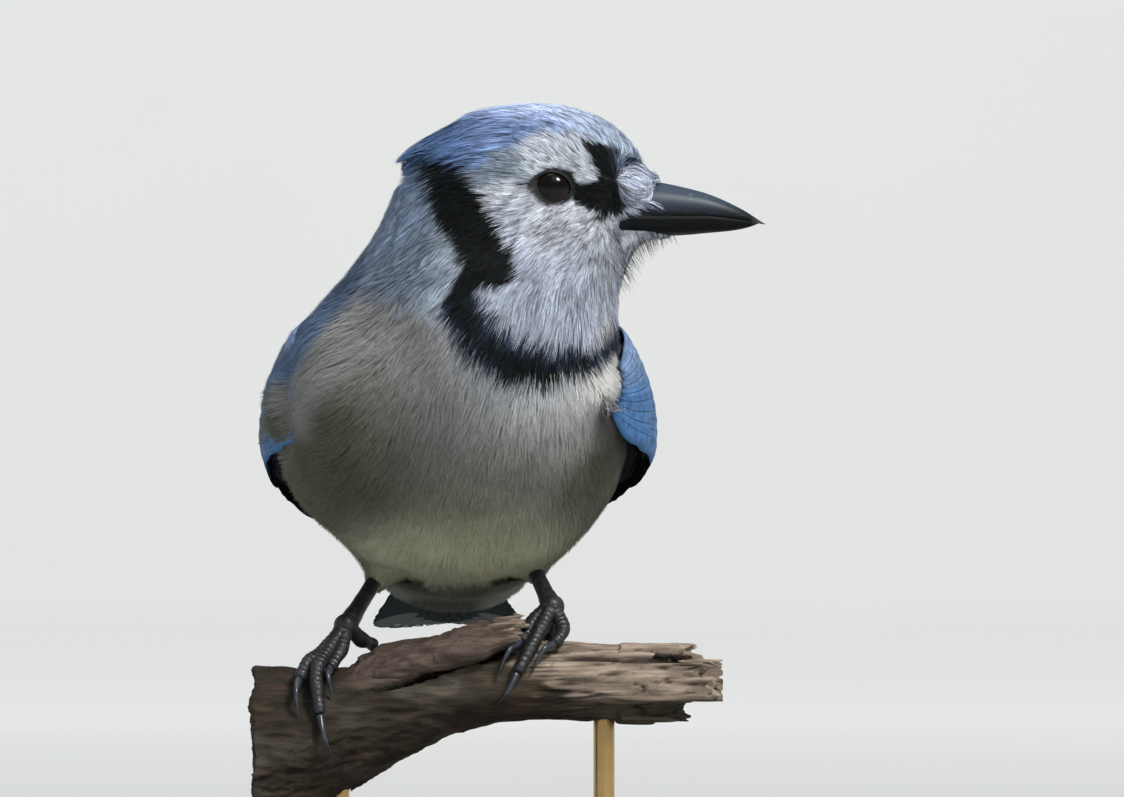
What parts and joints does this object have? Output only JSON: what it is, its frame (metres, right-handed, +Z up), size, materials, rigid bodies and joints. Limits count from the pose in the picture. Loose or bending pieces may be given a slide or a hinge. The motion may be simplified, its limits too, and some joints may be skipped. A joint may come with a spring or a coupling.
{
  "type": "blue jay on a perch",
  "caption": "Crested songbird with folded wings and a long tail, standing with its head turned on a cut length of branch, held over a flat oval base by rods.",
  "frame": {"origin": "centre of the underside of the stand's base", "axes": "+Z up, -Y the way the breast faces, +X the way the bill points, to the bird's left"},
  "size_m": [0.148, 0.2232, 0.1815],
  "materials": {
    "face": "soft white and pale lavender feathers, matte",
    "nape": "soft blue-grey feathers, matte",
    "breast": "soft warm grey feathers, matte",
    "crest": "lavender-blue feathers, matte",
    "wing": "bright blue flight feathers with black bars and white tips, satin",
    "rump": "soft blue-grey feathers above, white below, matte",
    "tail": "blue barred tail feathers with white corners, satin",
    "bill": "slate-black horn, semi-gloss",
    "eye": "dark brown, wet gloss",
    "leg": "black scaled skin, satin",
    "claw": "black horn, semi-gloss",
    "wood": "weathered bare branch wood, matte",
    "base": "dark stained wood, satin",
    "rod": "polished rod"
  },
  "bodies": {
    "root": {"head": "face", "crest": "crest", "bill_upper": "bill", "bill_lower": "bill", "eye_left": "eye", "eye_right": "eye", "neck": "nape", "trunk": "breast", "rump": "rump", "tail": "tail", "wing_left_coverts": "wing", "wing_left_secondaries": "wing", "wing_left_primaries": "wing", "wing_right_coverts": "wing", "wing_right_secondaries": "wing", "wing_right_primaries": "wing", "thigh_right": "breast", "tarsus_right": "leg", "foot_right": "leg", "toe_right_middle": "leg", "claw_right_middle": "claw", "toe_right_outer": "leg", "claw_right_outer": "claw", "toe_right_inner": "leg", "claw_right_inner": "claw", "toe_right_hind": "leg", "claw_right_hind": "claw", "thigh_left": "breast", "tarsus_left": "leg", "foot_left": "leg", "toe_left_middle": "leg", "claw_left_middle": "claw", "toe_left_outer": "leg", "claw_left_outer": "claw", "toe_left_inner": "leg", "claw_left_inner": "claw", "toe_left_hind": "leg", "claw_left_hind": "claw", "perch": "wood", "stand_base": "base", "stand_rod_1": "rod", "stand_rod_2": "rod"}
  },
  "joints": []
}
